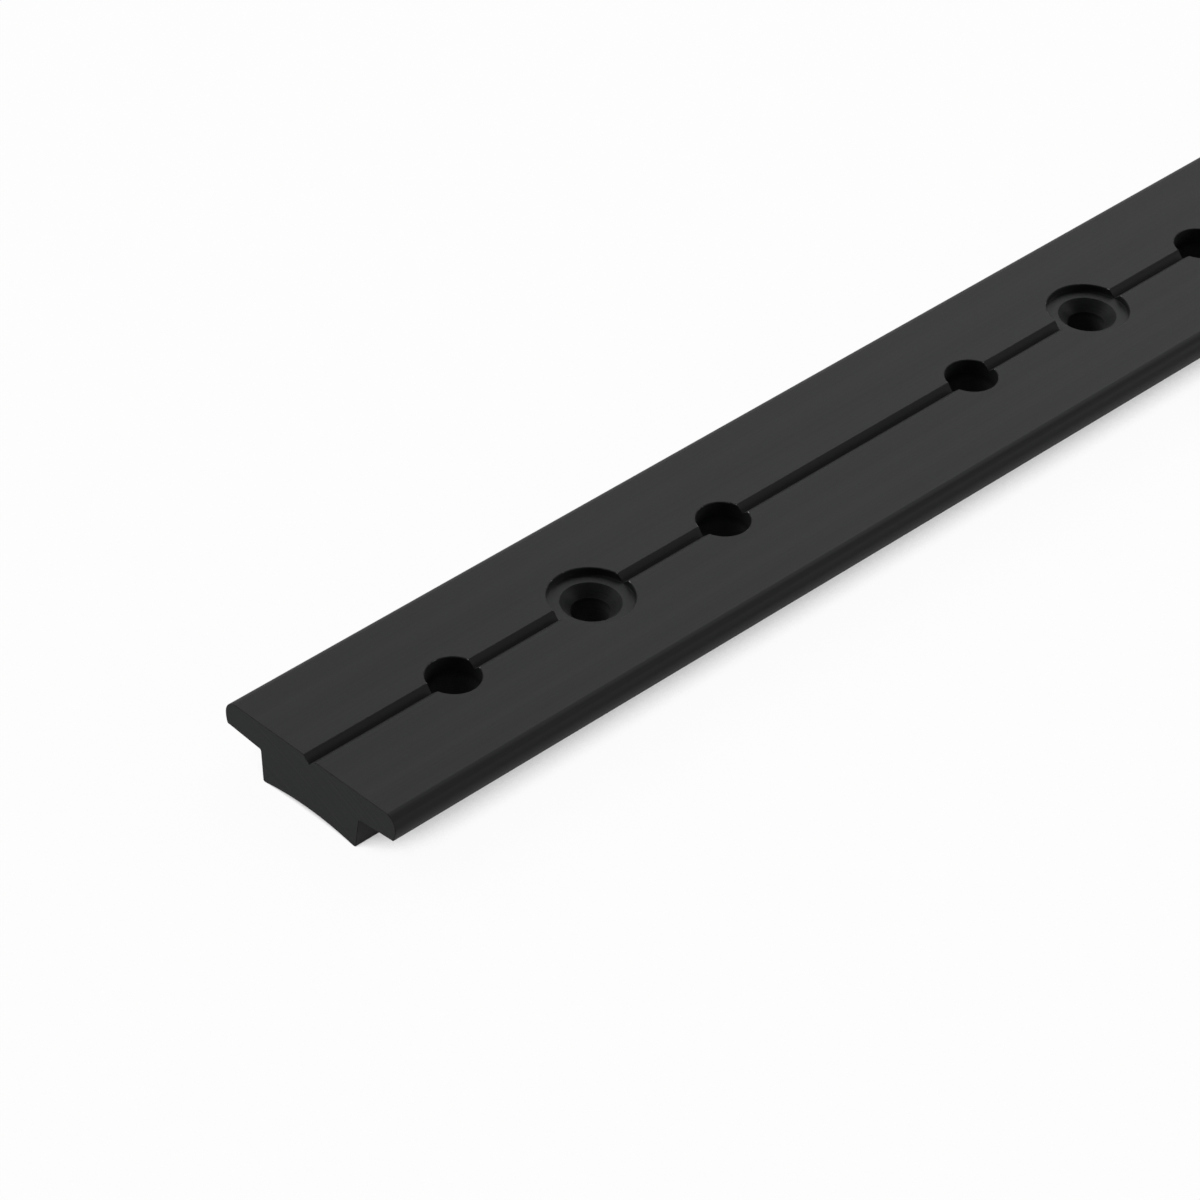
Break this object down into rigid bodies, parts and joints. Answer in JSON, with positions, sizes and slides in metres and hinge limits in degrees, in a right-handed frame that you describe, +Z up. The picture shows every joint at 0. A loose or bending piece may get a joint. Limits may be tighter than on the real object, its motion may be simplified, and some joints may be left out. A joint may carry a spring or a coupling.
{
  "type": "sail track section",
  "caption": "Length of extruded T-shaped sail track with a hollow underside, a V-shaped centring groove, counterbored screw holes and plain stop holes.",
  "frame": {"origin": "under the middle of the track's length, on its centre plane, level with its feet", "axes": "+X along the track, +Y across it, +Z up out of the flat top"},
  "size_m": [1, 0.032, 0.0092],
  "materials": {
    "black_anodised": "satin black hard-anodised, with faint extrusion lines along the length"
  },
  "bodies": {
    "root": {"track_rail": "black_anodised"}
  },
  "joints": []
}
